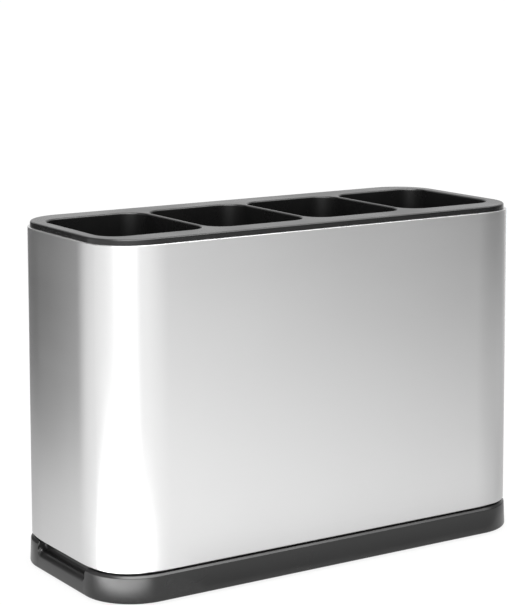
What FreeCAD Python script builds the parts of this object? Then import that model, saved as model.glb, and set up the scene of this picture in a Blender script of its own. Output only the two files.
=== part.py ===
"""Cutlery caddy: a steel sleeve, a moulded compartment insert, a drip-tray base and four feet.

The sleeve is a rolled sheet tube with its edges turned inward. The insert hangs in it by its rim,
and the sleeve stands on the base, centred by a low wall inside its lower edge. The row frame has
+Z up, its origin under the middle of the feet, the long side along X and the front towards -Y.
Lengths are in millimetres.
"""

import FreeCAD, Part
import os
from math import atan2, sin, tan

import Sketcher
from FreeCAD import Vector

PARTS_FOLDER = "parts"
ON_PLANE = 1e-4  # how near an edge lies to a plane that it is said to lie on
WALL_SHARE = 0.45  # share of a wall that the rounding on one side of it may take

# Driving dimensions: alias, value, meaning.
SIZES = [
    ("sleeve_length", 220.0, "outside length of the sleeve at its lower edge"),
    ("sleeve_depth", 92.0, "outside depth of the sleeve at its lower edge"),
    ("sleeve_height", 138.0, "height of the sleeve"),
    ("sleeve_radius", 22.5, "plan radius of the sleeve's corners at its lower edge"),
    ("sleeve_taper", 1.15, "how far each side leans in from the lower edge to the upper one"),
    ("sheet_thickness", 0.6, "thickness of the steel sheet"),
    ("bend_radius", 0.6, "inside radius of the bend at the sleeve's turned edges"),
    ("lip_width", 4.0, "how far the turned edges reach inward from the outer face"),
    ("rim_rise", 2.5, "thickness of the insert's rim, which lies on the sleeve's upper edge"),
    ("rim_inset", 1.3, "distance of the rim's outline inside the sleeve's upper outline"),
    ("rim_rounding", 0.8, "rounding of the rim's outer edge"),
    ("mouth_chamfer", 0.8, "chamfer of the compartments' upper edges"),
    ("compartment_count", 4.0, "number of compartments in the row"),
    ("end_gap", 0.45, "distance from the skirt's outer face in to the end compartments' walls"),
    ("side_gap", 7.45, "distance from the skirt's outer face in to the front and back walls"),
    ("tub_gap", 1.9, "gap between the insert's underside and the base's centring wall"),
    ("compartment_radius", 10.0, "plan radius of a compartment's corners at the rim"),
    ("compartment_draft", 0.8, "how far each compartment wall leans in down to the floor"),
    ("divider_thickness", 2.0, "thickness of a divider at the rim"),
    ("insert_wall", 2.0, "outer wall thickness of the insert"),
    ("insert_floor", 2.2, "floor thickness of the insert"),
    ("floor_rounding", 4.0, "rounding between a compartment's walls and its floor"),
    ("skirt_thickness", 1.4, "thickness of the skirt that centres the insert in the sleeve"),
    ("skirt_drop", 4.0, "height of that skirt below the rim"),
    ("skirt_clearance", 0.4, "gap between the skirt and the sleeve's turned edge"),
    ("gusset_thickness", 1.6, "thickness of the gussets under the rim"),
    ("slot_width", 4.0, "width of a drain slot"),
    ("slot_pitch", 9.0, "distance between drain slots"),
    ("slot_side_margin", 6.5, "least distance of the drain slots from a compartment's side walls"),
    ("slot_end_margin", 15.2, "distance of the drain slots' ends from the front and back walls"),
    ("slot_rounding", 1.6, "corner radius of a drain slot"),
    ("base_rim_height", 12.0, "height of the base's outer wall"),
    ("base_flare", 1.0, "how far the base's lower outline stands outside the sleeve"),
    ("base_shoulder", 0.4, "how far the base's upper outline stands outside the sleeve"),
    ("base_wall", 2.2, "wall thickness of the base"),
    ("base_floor", 2.6, "floor thickness of the tray"),
    ("shadow_gap", 0.9, "open line between the base's outer wall and the sleeve"),
    ("seat_inset", 2.8, "distance of the seat's edge inside the sleeve's outer face"),
    ("seat_clearance", 0.05, "play between the stacked pieces where one rests on another"),
    ("plug_clearance", 0.4, "gap between the centring wall and the sleeve's turned edge"),
    ("plug_height", 6.0, "height of the centring wall above the seat"),
    ("plug_chamfer", 0.6, "chamfer of the centring wall's upper edges, which leads the sleeve in"),
    ("top_rounding", 0.8, "rounding of the base's outer wall at the top"),
    ("bottom_chamfer", 0.6, "chamfer of the base's outer wall at the bottom"),
    ("well_rounding", 3.0, "rounding between the tray's walls and its floor"),
    ("rib_count", 5.0, "standing ribs in the tray"),
    ("rib_pitch", 34.0, "distance between the standing ribs"),
    ("rib_thickness", 1.8, "thickness of a standing rib"),
    ("rib_height", 3.0, "height of a standing rib above the tray's floor"),
    ("rib_margin", 10.0, "water gap between a rib's end and the tray's wall"),
    ("scoop_margin", 0.3, "flat left between a finger scoop's rounded ends and the corners"),
    ("scoop_web", 0.4, "seat left standing between a finger scoop and the centring wall"),
    ("scoop_drop", 4.0, "height of a finger scoop on the base's outer wall"),
    ("scoop_corner", 2.0, "rounding of a finger scoop's lower corners"),
    ("scoop_rounding", 1.6, "rounding between a finger scoop's floor and its back"),
    ("scoop_blend", 1.2, "rounding where a finger scoop runs out on the outer wall"),
    ("panel_recess", 0.8, "depth of the recessed panel under the base"),
    ("panel_margin", 6.0, "width of the standing edge around the recessed panel"),
    ("core_count", 3.0, "cored slots along each long side of the base"),
    ("core_web", 4.0, "web between two cored slots"),
    ("core_margin", 3.0, "distance of the cored slots from the base's rounded corners"),
    ("core_rounding", 0.8, "corner radius of a cored slot"),
    ("foot_diameter", 12.0, "diameter of a foot"),
    ("foot_stand", 0.8, "how far the feet stand below the base"),
    ("foot_socket", 1.2, "depth of a foot's socket in the recessed panel"),
    ("foot_clearance", 0.1, "radial gap around a foot in its socket"),
    ("foot_chamfer", 0.5, "chamfer of a foot's lower edge"),
    ("foot_inset_length", 24.0, "distance of a foot's centre from the sleeve's end"),
    ("foot_inset_depth", 20.0, "distance of a foot's centre from the sleeve's front or back"),
]

# Outline sizes that several pieces share, as expressions on the driving dimensions.
TOP_LENGTH = "(sizes.sleeve_length - 2 * sizes.sleeve_taper)"
TOP_DEPTH = "(sizes.sleeve_depth - 2 * sizes.sleeve_taper)"
TOP_RADIUS = "(sizes.sleeve_radius - sizes.sleeve_taper)"
SKIRT_INSET = "(sizes.lip_width + sizes.skirt_clearance)"
ROW_LENGTH = f"({TOP_LENGTH} - 2 * ({SKIRT_INSET} + sizes.end_gap + sizes.insert_wall))"
ROW_DEPTH = f"({TOP_DEPTH} - 2 * ({SKIRT_INSET} + sizes.side_gap + sizes.insert_wall))"
PITCH = f"(({ROW_LENGTH} + sizes.divider_thickness) / sizes.compartment_count)"
CELL_LENGTH = f"({PITCH} - sizes.divider_thickness)"
CELL_HEIGHT = (
    "(sizes.sleeve_height + 2 * sizes.seat_clearance"
    " - sizes.plug_height - sizes.tub_gap - sizes.insert_floor)"
)
SEAT_HEIGHT = "(sizes.base_rim_height + sizes.shadow_gap - sizes.seat_clearance)"
PLUG_INSET = "(sizes.lip_width + sizes.plug_clearance)"
WELL_INSET = f"({PLUG_INSET} + sizes.base_wall)"
WELL_FLOOR = "(sizes.panel_recess + sizes.base_floor)"
CORE_SPAN = "(sizes.sleeve_length - 2 * sizes.sleeve_radius - 2 * sizes.core_margin)"
CORE_PITCH = f"(({CORE_SPAN} + sizes.core_web) / sizes.core_count)"

doc = FreeCAD.newDocument("cutlery_caddy")
sheet = doc.addObject("Spreadsheet::Sheet", "sizes")


def fill_sheet():
    """Write each driving dimension into the sheet with its alias and meaning."""
    for row, (alias, size, meaning) in enumerate(SIZES, start=1):
        sheet.set(f"A{row}", meaning)
        sheet.set(f"B{row}", str(size))
        sheet.setAlias(f"B{row}", alias)
    doc.recompute()


def value(expression):
    """The number that an expression on the sheet gives now."""
    result = sheet.evalExpression(str(expression))
    return float(getattr(result, "Value", result))


# ---------------------------------------------------------------------------
# Sketch helpers
# ---------------------------------------------------------------------------


def new_body(name):
    """A body whose label is the piece's name."""
    body = doc.addObject("PartDesign::Body", name)
    body.Label = name
    return body


def origin_feature(body, role):
    """One of the body's own origin planes or axes."""
    return next(f for f in body.Origin.OriginFeatures if f.Role == role)


def new_sketch(body, name, role="XY_Plane", height=None):
    """A sketch on one of the body's origin planes, raised by an expression if one is given."""
    sketch = body.newObject("Sketcher::SketchObject", name)
    sketch.AttachmentSupport = (origin_feature(body, role), [""])
    sketch.MapMode = "FlatFace"
    if height is not None:
        sketch.setExpression("AttachmentOffset.Base.z", height)
    return sketch


def bind(sketch, constraint, expression):
    """Add a dimension to a sketch and tie it to an expression."""
    index = sketch.addConstraint(constraint)
    sketch.setExpression(f"Constraints[{index}]", expression)


def place_point(sketch, geometry, position, x, y):
    """Fix a sketch point at two expressions, on the axis itself where one is zero."""
    x_now, y_now = value(x), value(y)
    if abs(x_now) < 1e-9:
        sketch.addConstraint(Sketcher.Constraint("PointOnObject", geometry, position, -2))
    else:
        bind(sketch, Sketcher.Constraint("DistanceX", -1, 1, geometry, position, x_now), x)
    if abs(y_now) < 1e-9:
        sketch.addConstraint(Sketcher.Constraint("PointOnObject", geometry, position, -1))
    else:
        bind(sketch, Sketcher.Constraint("DistanceY", -1, 1, geometry, position, y_now), y)


def corner_arc(before, corner, after, radius):
    """The arc that rounds a corner: its circle, start and end angles, and its two end points."""
    to_before, to_after = (before - corner).normalize(), (after - corner).normalize()
    half = to_before.getAngle(to_after) / 2
    bisector = (to_before + to_after).normalize()
    centre = corner + bisector * (radius / sin(half))
    start = corner + to_before * (radius / tan(half))
    end = corner + to_after * (radius / tan(half))
    first = atan2(start.y - centre.y, start.x - centre.x)
    last = atan2(end.y - centre.y, end.x - centre.x)
    turns_left = (corner - before).cross(after - corner).z > 0
    return centre, start, end, first, last, turns_left


def add_outline(sketch, corners):
    """Draw a closed outline through corners (x, y, radius), where a radius of None stays sharp.

    Each rounded corner keeps a construction point where its two sides would meet, and that point
    carries the corner's place.
    """
    points = [Vector(value(x), value(y), 0) for x, y, _ in corners]
    count = len(corners)
    arcs = {}
    for i, (_, _, radius) in enumerate(corners):
        if radius is not None:
            arcs[i] = corner_arc(points[i - 1], points[i], points[(i + 1) % count], value(radius))
    lines = []
    for i in range(count):
        j = (i + 1) % count
        start = arcs[i][2] if i in arcs else points[i]
        end = arcs[j][1] if j in arcs else points[j]
        lines.append(sketch.addGeometry(Part.LineSegment(start, end), False))
    for i, (x, y, radius) in enumerate(corners):
        line_in, line_out = lines[i - 1], lines[i]
        if radius is None:
            sketch.addConstraint(Sketcher.Constraint("Coincident", line_in, 2, line_out, 1))
            place_point(sketch, line_out, 1, x, y)
            continue
        centre, _, _, first, last, turns_left = arcs[i]
        circle = Part.Circle(centre, Vector(0, 0, 1), value(radius))
        ends = (first, last) if turns_left else (last, first)
        arc = sketch.addGeometry(Part.ArcOfCircle(circle, *ends), False)
        arc_in, arc_out = (1, 2) if turns_left else (2, 1)
        sketch.addConstraint(Sketcher.Constraint("Tangent", line_in, 2, arc, arc_in))
        sketch.addConstraint(Sketcher.Constraint("Tangent", arc, arc_out, line_out, 1))
        bind(sketch, Sketcher.Constraint("Radius", arc, value(radius)), radius)
        mark = sketch.addGeometry(Part.Point(points[i]), True)
        sketch.addConstraint(Sketcher.Constraint("PointOnObject", mark, 1, line_in))
        sketch.addConstraint(Sketcher.Constraint("PointOnObject", mark, 1, line_out))
        place_point(sketch, mark, 1, x, y)


def add_rectangle(sketch, length, depth, radius, x="0", y="0"):
    """Draw a rectangle with rounded corners about a centre."""
    left, right = f"{x} - {length} / 2", f"{x} + {length} / 2"
    front, back = f"{y} - {depth} / 2", f"{y} + {depth} / 2"
    corners = [(right, front), (right, back), (left, back), (left, front)]
    add_outline(sketch, [(across, along, radius) for across, along in corners])


def inset_rectangle(sketch, length, depth, radius, inset):
    """Draw a rounded rectangle that lies inside another by the same distance all round."""
    add_rectangle(
        sketch,
        f"({length} - 2 * ({inset}))",
        f"({depth} - 2 * ({inset}))",
        f"({radius} - ({inset}))",
    )


def sleeve_outline(sketch, inset):
    """Draw the sleeve's lower outline, moved in by an expression."""
    inset_rectangle(sketch, "sizes.sleeve_length", "sizes.sleeve_depth", "sizes.sleeve_radius", inset)


def top_outline(sketch, inset):
    """Draw the sleeve's upper outline, moved in by an expression."""
    inset_rectangle(sketch, TOP_LENGTH, TOP_DEPTH, TOP_RADIUS, inset)


# ---------------------------------------------------------------------------
# Feature helpers
# ---------------------------------------------------------------------------


def pad(body, name, sketch, length, taper=None, down=False):
    """Extrude a sketch by an expression, with an optional taper angle."""
    feature = body.newObject("PartDesign::Pad", name)
    feature.Profile = sketch
    feature.setExpression("Length", length)
    feature.Reversed = down
    if taper is not None:
        feature.setExpression("TaperAngle", taper)
    doc.recompute()
    return feature


def pocket(body, name, sketch, length, taper=None, up=False, both_ways=False):
    """Cut a sketch away over an expression's length, downwards unless it is said otherwise."""
    volume = body.Shape.Volume
    feature = body.newObject("PartDesign::Pocket", name)
    feature.Profile = sketch
    feature.setExpression("Length", length)
    feature.Reversed = up
    if both_ways:
        feature.SideType = "Symmetric"
    if taper is not None:
        feature.setExpression("TaperAngle", taper)
    doc.recompute()
    if not body.Shape.Volume < volume:
        raise RuntimeError(f"{name} cuts nothing")
    return feature


def row_pattern(body, name, originals, count, pitch):
    """Repeat features along the body's X axis."""
    feature = body.newObject("PartDesign::LinearPattern", name)
    feature.Originals = originals
    feature.Direction = (origin_feature(body, "X_Axis"), [""])
    feature.setExpression("Length", f"({count} - 1) * {pitch}")
    feature.setExpression("Occurrences", count)
    body.Tip = feature
    doc.recompute()
    return feature


def mirrored(body, name, originals, role="YZ_Plane"):
    """Repeat features on the other side of one of the body's origin planes."""
    feature = body.newObject("PartDesign::Mirrored", name)
    feature.Originals = originals
    feature.MirrorPlane = (origin_feature(body, role), [""])
    body.Tip = feature
    doc.recompute()
    return feature


def edges_where(shape, test):
    """Names of the edges whose bounding box passes a test."""
    return [f"Edge{i}" for i, edge in enumerate(shape.Edges, start=1) if test(edge.BoundBox)]


def at_height(height):
    """A test for edges that lie flat at a height."""
    level = value(height)
    return lambda box: abs(box.ZMin - level) < ON_PLANE and abs(box.ZMax - level) < ON_PLANE


def limited(rounding, *walls):
    """An expression for a rounding that stays within its share of each wall it lies on."""
    return "min(" + "; ".join([rounding] + [f"{wall} * {WALL_SHARE}" for wall in walls]) + ")"


def finish_edges(body, kind, name, test, size, expression):
    """Fillet or chamfer the tip's edges that pass a test, with its size tied to an expression."""
    base = body.Tip
    feature = body.newObject(f"PartDesign::{kind}", name)
    feature.Base = (base, edges_where(base.Shape, test))
    feature.setExpression(size, expression)
    body.Tip = feature
    doc.recompute()
    return feature


def round_edges(body, name, test, radius):
    """Fillet the tip's edges that pass a test."""
    return finish_edges(body, "Fillet", name, test, "Radius", radius)


def chamfer_edges(body, name, test, width):
    """Chamfer the tip's edges that pass a test, by the same width on both faces."""
    return finish_edges(body, "Chamfer", name, test, "Size", width)


# ---------------------------------------------------------------------------
# The pieces
# ---------------------------------------------------------------------------


def make_sleeve():
    """Sheet tube: the bent section of its wall, carried round the rounded plan outline."""
    body = new_body("outer_sleeve")
    path = new_sketch(body, "sleeve_path")
    half_length, half_depth = "sizes.sleeve_length / 2", "sizes.sleeve_depth / 2"
    radius = "sizes.sleeve_radius"
    add_outline(
        path,
        [
            (half_length, "0", None),
            (half_length, half_depth, radius),
            (f"-{half_length}", half_depth, radius),
            (f"-{half_length}", f"-{half_depth}", radius),
            (half_length, f"-{half_depth}", radius),
        ],
    )
    section = new_sketch(body, "sleeve_section", "XZ_Plane")
    top = "sizes.sleeve_height"
    sheet_gauge = "sizes.sheet_thickness"
    foot_x, head_x = half_length, f"{half_length} - sizes.sleeve_taper"
    inner_radius, outer_radius = "sizes.bend_radius", "sizes.bend_radius + sizes.sheet_thickness"
    add_outline(
        section,
        [
            (f"{foot_x} - sizes.lip_width", "0", None),
            (foot_x, "0", outer_radius),
            (head_x, top, outer_radius),
            (f"{head_x} - sizes.lip_width", top, None),
            (f"{head_x} - sizes.lip_width", f"{top} - {sheet_gauge}", None),
            (f"{head_x} - {sheet_gauge}", f"{top} - {sheet_gauge}", inner_radius),
            (f"{foot_x} - {sheet_gauge}", sheet_gauge, inner_radius),
            (f"{foot_x} - sizes.lip_width", sheet_gauge, None),
        ],
    )
    wall = body.newObject("PartDesign::AdditivePipe", "sleeve_wall")
    wall.Profile = section
    wall.Spine = path
    doc.recompute()
    body.setExpression(
        "Placement.Base.z",
        "sizes.foot_stand + sizes.base_rim_height + sizes.shadow_gap",
    )
    return body


def make_insert():
    """One moulding: rim, centring skirt, gussets and a row of drafted compartments."""
    body = new_body("compartment_insert")
    lean = f"atan(sizes.compartment_draft / {CELL_HEIGHT})"

    rim_sketch = new_sketch(body, "rim_outline")
    top_outline(rim_sketch, "sizes.rim_inset")
    pad(body, "rim", rim_sketch, "sizes.rim_rise")

    skirt_sketch = new_sketch(body, "skirt_outline")
    top_outline(skirt_sketch, SKIRT_INSET)
    top_outline(skirt_sketch, f"{SKIRT_INSET} + sizes.skirt_thickness")
    pad(body, "skirt", skirt_sketch, "sizes.skirt_drop", down=True)

    gusset_sketch = new_sketch(body, "gusset_outline")
    gusset_reach = f"({TOP_DEPTH} - 2 * {SKIRT_INSET} - sizes.skirt_thickness)"
    gusset_x = f"-({ROW_LENGTH} + sizes.divider_thickness) / 2 + {PITCH}"
    half_gusset, half_reach = "sizes.gusset_thickness / 2", f"{gusset_reach} / 2"
    add_outline(
        gusset_sketch,
        [
            (f"{gusset_x} - {half_gusset}", f"-{half_reach}", None),
            (f"{gusset_x} + {half_gusset}", f"-{half_reach}", None),
            (f"{gusset_x} + {half_gusset}", half_reach, None),
            (f"{gusset_x} - {half_gusset}", half_reach, None),
        ],
    )
    gusset = pad(body, "gusset", gusset_sketch, "sizes.skirt_drop", down=True)
    row_pattern(body, "gussets", [gusset], "sizes.compartment_count - 1", PITCH)

    tub_sketch = new_sketch(body, "tub_outline")
    add_rectangle(
        tub_sketch,
        f"({ROW_LENGTH} + 2 * sizes.insert_wall)",
        f"({ROW_DEPTH} + 2 * sizes.insert_wall)",
        "sizes.compartment_radius + sizes.insert_wall",
    )
    tub_depth = f"{CELL_HEIGHT} + sizes.insert_floor"
    pad(body, "tub", tub_sketch, tub_depth, f"-{lean}", down=True)
    floor_radius = limited("sizes.floor_rounding", "sizes.compartment_radius")
    round_edges(
        body, "tub_rounding", at_height(f"-({tub_depth})"), f"{floor_radius} + sizes.insert_wall"
    )

    first_x = f"-{ROW_LENGTH} / 2 + {CELL_LENGTH} / 2"
    cell_sketch = new_sketch(body, "compartment_outline", height="sizes.rim_rise")
    add_rectangle(cell_sketch, CELL_LENGTH, ROW_DEPTH, "sizes.compartment_radius", x=first_x)
    cell = pocket(
        body, "compartment", cell_sketch, f"sizes.rim_rise + {CELL_HEIGHT}", f"-{lean}"
    )
    row_pattern(body, "compartments", [cell], "sizes.compartment_count", PITCH)
    round_edges(body, "floor_roundings", at_height(f"-{CELL_HEIGHT}"), floor_radius)
    half_row, half_depth = value(f"{ROW_LENGTH} / 2"), value(f"{ROW_DEPTH} / 2")
    on_top = at_height("sizes.rim_rise")

    def in_row(box):
        """An edge of the row of compartments, not of the rim round it."""
        across, along = max(-box.XMin, box.XMax), max(-box.YMin, box.YMax)
        return on_top(box) and across < half_row + ON_PLANE and along < half_depth + ON_PLANE

    rim_radius = limited("sizes.rim_rounding", "sizes.rim_rise")
    round_edges(body, "rim_edge", lambda box: on_top(box) and not in_row(box), rim_radius)
    mouth = limited("sizes.mouth_chamfer", "sizes.divider_thickness", "sizes.rim_rise")
    chamfer_edges(body, "mouth_chamfers", in_row, mouth)

    slot_row = f"({CELL_LENGTH} - 2 * sizes.compartment_draft - 2 * sizes.slot_side_margin)"
    slot_count = int(value(f"floor(({slot_row} - sizes.slot_width) / sizes.slot_pitch)")) + 1
    slot_length = f"({ROW_DEPTH} - 2 * sizes.compartment_draft - 2 * sizes.slot_end_margin)"
    slot_sketch = new_sketch(body, "slot_outlines", height=f"-{CELL_HEIGHT}")
    for i in range(slot_count):
        add_rectangle(
            slot_sketch,
            "sizes.slot_width",
            slot_length,
            limited("sizes.slot_rounding", "sizes.slot_width"),
            x=f"{first_x} + ({i} - ({slot_count} - 1) / 2) * sizes.slot_pitch",
        )
    slots = pocket(body, "slots", slot_sketch, "sizes.insert_floor")
    row_pattern(body, "slot_rows", [slots], "sizes.compartment_count", PITCH)
    body.setExpression(
        "Placement.Base.z",
        "sizes.foot_stand + sizes.base_rim_height + sizes.shadow_gap + sizes.sleeve_height"
        " + sizes.seat_clearance",
    )
    return body


def make_base():
    """One moulding: flared outer wall, seat and centring wall for the sleeve, well and scoops."""
    body = new_body("drip_tray_base")

    wall_sketch = new_sketch(body, "base_outline")
    sleeve_outline(wall_sketch, "-sizes.base_flare")
    lean = "atan((sizes.base_flare - sizes.base_shoulder) / sizes.base_rim_height)"
    pad(body, "outer_wall", wall_sketch, "sizes.base_rim_height", f"-{lean}")
    round_edges(body, "top_edge", at_height("sizes.base_rim_height"), "sizes.top_rounding")
    chamfer_edges(body, "bottom_edge", at_height("0"), "sizes.bottom_chamfer")
    seat_sketch = new_sketch(body, "seat_outline", height="sizes.base_wall")
    sleeve_outline(seat_sketch, "sizes.seat_inset")
    pad(body, "seat", seat_sketch, f"{SEAT_HEIGHT} - sizes.base_wall")
    cut_scoops(body)

    plug_sketch = new_sketch(body, "plug_outline", height="sizes.base_wall")
    sleeve_outline(plug_sketch, PLUG_INSET)
    pad(body, "plug", plug_sketch, f"{SEAT_HEIGHT} + sizes.plug_height - sizes.base_wall")
    well_sketch = new_sketch(body, "well_outline", height=f"{SEAT_HEIGHT} + sizes.plug_height")
    sleeve_outline(well_sketch, WELL_INSET)
    pocket(body, "well", well_sketch, f"{SEAT_HEIGHT} + sizes.plug_height - {WELL_FLOOR}")
    round_edges(body, "well_floor_edge", at_height(WELL_FLOOR), "sizes.well_rounding")
    plug_top = f"{SEAT_HEIGHT} + sizes.plug_height"
    plug_edge = limited("sizes.plug_chamfer", "sizes.base_wall")
    chamfer_edges(body, "plug_edges", at_height(plug_top), plug_edge)

    rib_sketch = new_sketch(body, "rib_outline", height=WELL_FLOOR)
    rib_x = "-(sizes.rib_count - 1) * sizes.rib_pitch / 2"
    rib_y = f"(sizes.sleeve_depth / 2 - {WELL_INSET} - sizes.rib_margin)"
    half_rib = "sizes.rib_thickness / 2"
    add_outline(
        rib_sketch,
        [
            (f"{rib_x} - {half_rib}", f"-{rib_y}", None),
            (f"{rib_x} + {half_rib}", f"-{rib_y}", None),
            (f"{rib_x} + {half_rib}", rib_y, None),
            (f"{rib_x} - {half_rib}", rib_y, None),
        ],
    )
    rib = pad(body, "rib", rib_sketch, "sizes.rib_height")
    row_pattern(body, "ribs", [rib], "sizes.rib_count", "sizes.rib_pitch")

    cut_underside(body)
    body.setExpression("Placement.Base.z", "sizes.foot_stand")
    return body


def cut_scoops(body):
    """A finger scoop in each end wall, which lets a fingertip under the sleeve's edge."""
    section = new_sketch(body, "scoop_section", "YZ_Plane")
    back_x = f"(sizes.sleeve_length / 2 - {PLUG_INSET} + sizes.scoop_web)"
    section.setExpression("AttachmentOffset.Base.z", back_x)
    end_flat = "(sizes.sleeve_depth / 2 - sizes.sleeve_radius)"
    half_length = f"({end_flat} - sizes.scoop_blend - sizes.scoop_margin)"
    low_z = "sizes.base_rim_height - sizes.scoop_drop"
    top_z = f"{SEAT_HEIGHT} + sizes.shadow_gap"
    add_outline(
        section,
        [
            (f"-{half_length}", low_z, "sizes.scoop_corner"),
            (half_length, low_z, "sizes.scoop_corner"),
            (half_length, top_z, None),
            (f"-{half_length}", top_z, None),
        ],
    )
    reach = f"{PLUG_INSET} - sizes.scoop_web + sizes.base_flare + sizes.shadow_gap"
    scoop = pocket(body, "scoop", section, reach, up=True)
    mirrored(body, "scoops", [scoop])
    back, outside = value(back_x), value("sizes.sleeve_length / 2")
    low, top = value("sizes.bottom_chamfer") + ON_PLANE, value("sizes.base_rim_height")
    lower = value(f"{low_z} + sizes.scoop_corner") + ON_PLANE
    side = value(half_length) + ON_PLANE

    def on_back(box):
        """The lower outline of a scoop's back."""
        flat = abs(box.XLength) < ON_PLANE and abs(abs(box.XMin) - back) < ON_PLANE
        return flat and box.ZMax < top and box.YLength > ON_PLANE

    def on_run_out(box):
        """The outline of a scoop on the outer wall."""
        beyond = min(abs(box.XMin), abs(box.XMax)) > outside
        return beyond and low < box.ZMin and box.ZMax < lower and max(-box.YMin, box.YMax) < side

    round_edges(body, "scoop_floors", on_back, "sizes.scoop_rounding")
    round_edges(body, "scoop_blends", on_run_out, "sizes.scoop_blend")


def cut_underside(body):
    """Recessed panel, cored slots along the long sides and the feet's sockets."""
    panel_sketch = new_sketch(body, "panel_outline")
    sleeve_outline(panel_sketch, "sizes.panel_margin")
    pocket(body, "panel", panel_sketch, "sizes.panel_recess", up=True)

    core_sketch = new_sketch(body, "core_outlines")
    outer_y = "(sizes.sleeve_depth / 2 + sizes.base_shoulder - sizes.base_wall)"
    inner_y = f"(sizes.sleeve_depth / 2 - {PLUG_INSET})"
    core_length, core_depth = f"({CORE_PITCH} - sizes.core_web)", f"({outer_y} - {inner_y})"
    core_x = f"-(sizes.core_count - 1) * {CORE_PITCH} / 2"
    for side in ("", "-"):
        add_rectangle(
            core_sketch,
            core_length,
            core_depth,
            limited("sizes.core_rounding", core_depth),
            x=core_x,
            y=f"{side}({outer_y} + {inner_y}) / 2",
        )
    core_height = "sizes.base_rim_height - sizes.base_wall"
    core = pocket(body, "core", core_sketch, core_height, up=True)
    row_pattern(body, "cores", [core], "sizes.core_count", CORE_PITCH)

    socket_sketch = new_sketch(body, "socket_outlines", height="sizes.panel_recess")
    radius = "sizes.foot_diameter / 2 + sizes.foot_clearance"
    for x, y in foot_places().values():
        circle = Part.Circle(Vector(value(x), value(y), 0), Vector(0, 0, 1), value(radius))
        index = socket_sketch.addGeometry(circle, False)
        bind(socket_sketch, Sketcher.Constraint("Radius", index, value(radius)), radius)
        place_point(socket_sketch, index, 3, x, y)
    pocket(body, "sockets", socket_sketch, "sizes.foot_socket", up=True)


def foot_places():
    """Name and centre of each foot."""
    x = "(sizes.sleeve_length / 2 - sizes.foot_inset_length)"
    y = "(sizes.sleeve_depth / 2 - sizes.foot_inset_depth)"
    return {
        "foot_front_left": (f"-{x}", f"-{y}"),
        "foot_front_right": (x, f"-{y}"),
        "foot_rear_left": (f"-{x}", y),
        "foot_rear_right": (x, y),
    }


def make_foot(name, x, y):
    """Round rubber pad, turned about its own axis, that stands below the base."""
    body = new_body(name)
    sketch = new_sketch(body, f"{name}_section", "XZ_Plane")
    radius = "sizes.foot_diameter / 2"
    thickness = "sizes.foot_stand + sizes.panel_recess + sizes.foot_socket"
    add_outline(
        sketch,
        [
            ("0", "0", None),
            (f"{radius} - sizes.foot_chamfer", "0", None),
            (radius, "sizes.foot_chamfer", None),
            (radius, thickness, None),
            ("0", thickness, None),
        ],
    )
    turned = body.newObject("PartDesign::Revolution", f"{name}_pad")
    turned.Profile = sketch
    turned.ReferenceAxis = (sketch, ["V_Axis"])
    turned.Angle = 360.0
    doc.recompute()
    body.setExpression("Placement.Base.x", x)
    body.setExpression("Placement.Base.y", y)
    return body


# ---------------------------------------------------------------------------
# Build, check and write
# ---------------------------------------------------------------------------


def check_and_write(bodies):
    """Refuse a failed object or an invalid piece, then write one STEP file a piece."""
    doc.recompute()
    for item in doc.Objects:
        if "Invalid" in item.State or "Error" in item.State:
            raise RuntimeError(f"{item.Name} failed: {item.State}")
    for body in bodies:
        shape = body.Shape
        if shape.isNull() or not shape.isValid() or len(shape.Solids) != 1:
            raise RuntimeError(f"{body.Label} has no single valid solid")
    os.makedirs(PARTS_FOLDER, exist_ok=True)
    for body in bodies:
        body.Shape.exportStep(os.path.join(PARTS_FOLDER, f"{body.Label}.step"))
        box = body.Shape.optimalBoundingBox(False, False)
        print(
            f"{body.Label:20s} volume {body.Shape.Volume:10.1f} mm3, faces {len(body.Shape.Faces)},"
            f" x {box.XMin:.2f} to {box.XMax:.2f}, y {box.YMin:.2f} to {box.YMax:.2f},"
            f" z {box.ZMin:.2f} to {box.ZMax:.2f}"
        )


fill_sheet()
pieces = [make_sleeve(), make_insert(), make_base()]
pieces += [make_foot(name, x, y) for name, (x, y) in foot_places().items()]
check_and_write(pieces)
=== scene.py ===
"""Looks of a free-standing cutlery caddy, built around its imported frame.

The caddy is a satin steel sleeve that stands on a moulded drip-tray base, with a black moulded
insert hanging in the sleeve by its rim, and four rubber feet. Each class below holds one
sub-assembly: its sizes as fields, and methods that build its mesh and dress it. The frame gives
where each piece is, and the fields give the roundings and walls that a box can't tell.
"""

import logging
from dataclasses import dataclass, replace
from enum import Enum, unique
from math import cos, pi, radians, sin

import bmesh
import bpy
from mathutils import Matrix, Vector

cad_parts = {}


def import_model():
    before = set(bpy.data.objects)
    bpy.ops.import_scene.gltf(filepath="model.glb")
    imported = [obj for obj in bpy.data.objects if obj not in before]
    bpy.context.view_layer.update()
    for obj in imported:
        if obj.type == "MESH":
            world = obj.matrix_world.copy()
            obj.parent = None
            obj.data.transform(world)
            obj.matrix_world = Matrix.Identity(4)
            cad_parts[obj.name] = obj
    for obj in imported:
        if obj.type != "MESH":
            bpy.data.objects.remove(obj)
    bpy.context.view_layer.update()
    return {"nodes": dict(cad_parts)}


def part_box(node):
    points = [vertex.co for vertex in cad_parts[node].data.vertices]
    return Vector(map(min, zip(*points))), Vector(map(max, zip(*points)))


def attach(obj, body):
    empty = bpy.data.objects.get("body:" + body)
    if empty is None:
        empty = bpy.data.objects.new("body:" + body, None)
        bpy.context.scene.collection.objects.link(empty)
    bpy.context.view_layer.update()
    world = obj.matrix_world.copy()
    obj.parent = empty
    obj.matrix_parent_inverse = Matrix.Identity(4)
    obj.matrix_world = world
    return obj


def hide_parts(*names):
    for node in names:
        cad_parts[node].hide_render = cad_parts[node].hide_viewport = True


LOG = logging.getLogger("cutlery_caddy")
MM = 0.001
MERGE = 0.002 * MM
DEGENERATE = MERGE / 10
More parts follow.
